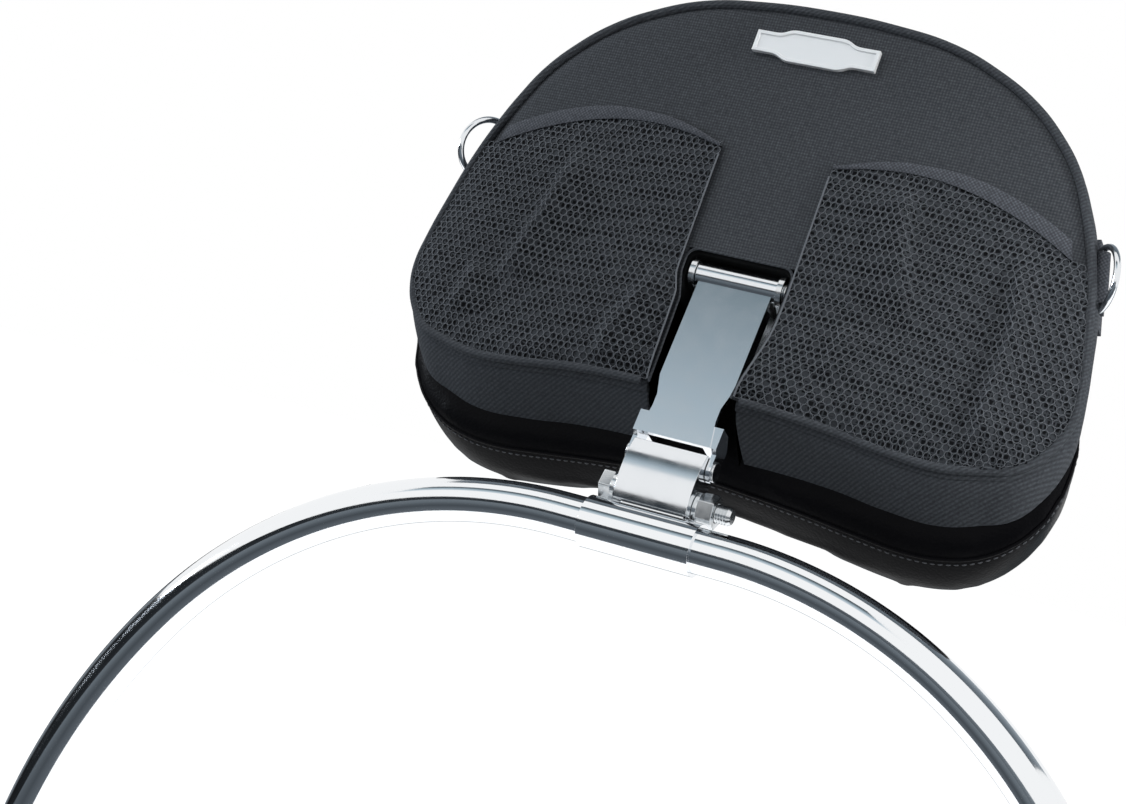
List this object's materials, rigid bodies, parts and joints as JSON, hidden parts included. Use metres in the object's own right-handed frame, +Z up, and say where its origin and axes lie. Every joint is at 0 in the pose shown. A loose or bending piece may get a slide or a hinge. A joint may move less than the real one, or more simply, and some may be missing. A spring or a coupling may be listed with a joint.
{
  "type": "motorcycle driver backrest",
  "caption": "Padded driver backrest with a rear storage pouch on a folding chromed arm, clamped to a U-shaped hoop of round tube.",
  "frame": {"origin": "midway between the two feet of the hoop, in the plane of their ends", "axes": "+X to the rider's right, +Y forward to the rider, +Z up along the hoop's legs"},
  "size_m": [0.5502, 0.1449, 0.5411],
  "materials": {
    "chrome_tube": "polished",
    "chrome_hinge": "polished",
    "bright_zinc": "satin",
    "vinyl_black": "satin",
    "foam_grey": "matte",
    "board_ply": "matte",
    "twill_black": "matte",
    "lining_black": "matte",
    "mesh_black": "matte",
    "hem_black": "matte",
    "piping_black": "matte",
    "thread_black": "matte",
    "plate_metal": "satin"
  },
  "bodies": {
    "root": {"hoop_tube": "chrome_tube", "hinge_sleeve": "chrome_hinge", "hinge_bolt": "chrome_hinge", "head_washer": "chrome_hinge", "nut_washer": "chrome_hinge", "lock_washer": "chrome_hinge", "hinge_nut": "chrome_hinge"},
    "knuckle": {"hinge_knuckle": "chrome_hinge"},
    "arm": {"backrest_arm": "chrome_hinge", "fold_pin": "chrome_hinge"},
    "pad": {"tilt_pin": "chrome_hinge", "pad_bracket": "chrome_hinge", "bracket_screws": "bright_zinc", "board_tee_nuts": "bright_zinc", "backing_board": "board_ply", "foam_cushion": "foam_grey", "cover_back_panel": "vinyl_black", "cover_front": "vinyl_black", "pouch_gusset": "twill_black", "pouch_rear_panel": "twill_black", "pouch_slot_lining": "lining_black", "pouch_piping": "piping_black", "pocket_mesh_left": "mesh_black", "pocket_mesh_right": "mesh_black", "pocket_hem_left": "hem_black", "pocket_hem_right": "hem_black", "ring_tab_left": "twill_black", "ring_tab_right": "twill_black", "name_plate_blank": "plate_metal"},
    "ring_left": {"strap_ring_left": "chrome_hinge"},
    "ring_right": {"strap_ring_right": "chrome_hinge"}
  },
  "joints": [
    {"name": "recline", "type": "hinge", "parent": "root", "child": "knuckle", "pos_m": [0, 0.0098, 0.31932], "axis": [-1, 0, 0], "range_deg": [-4, 8]},
    {"name": "fold", "type": "hinge", "parent": "knuckle", "child": "arm", "pos_m": [0, 0.0129, 0.33532], "axis": [-1, 0, 0], "range_deg": [0, 30]},
    {"name": "pad_tilt", "type": "hinge", "parent": "arm", "child": "pad", "pos_m": [0, 0.03828, 0.41512], "axis": [-1, 0, 0], "range_deg": [-8, 8]},
    {"name": "ring_left_swing", "type": "hinge", "parent": "pad", "child": "ring_left", "pos_m": [-0.14392, 0.0629, 0.45056], "axis": [-0.225, -0.2522, -0.9412], "range_deg": [-20, 90]},
    {"name": "ring_right_swing", "type": "hinge", "parent": "pad", "child": "ring_right", "pos_m": [0.14392, 0.0629, 0.45056], "axis": [-0.225, 0.2522, 0.9412], "range_deg": [-20, 90]}
  ]
}
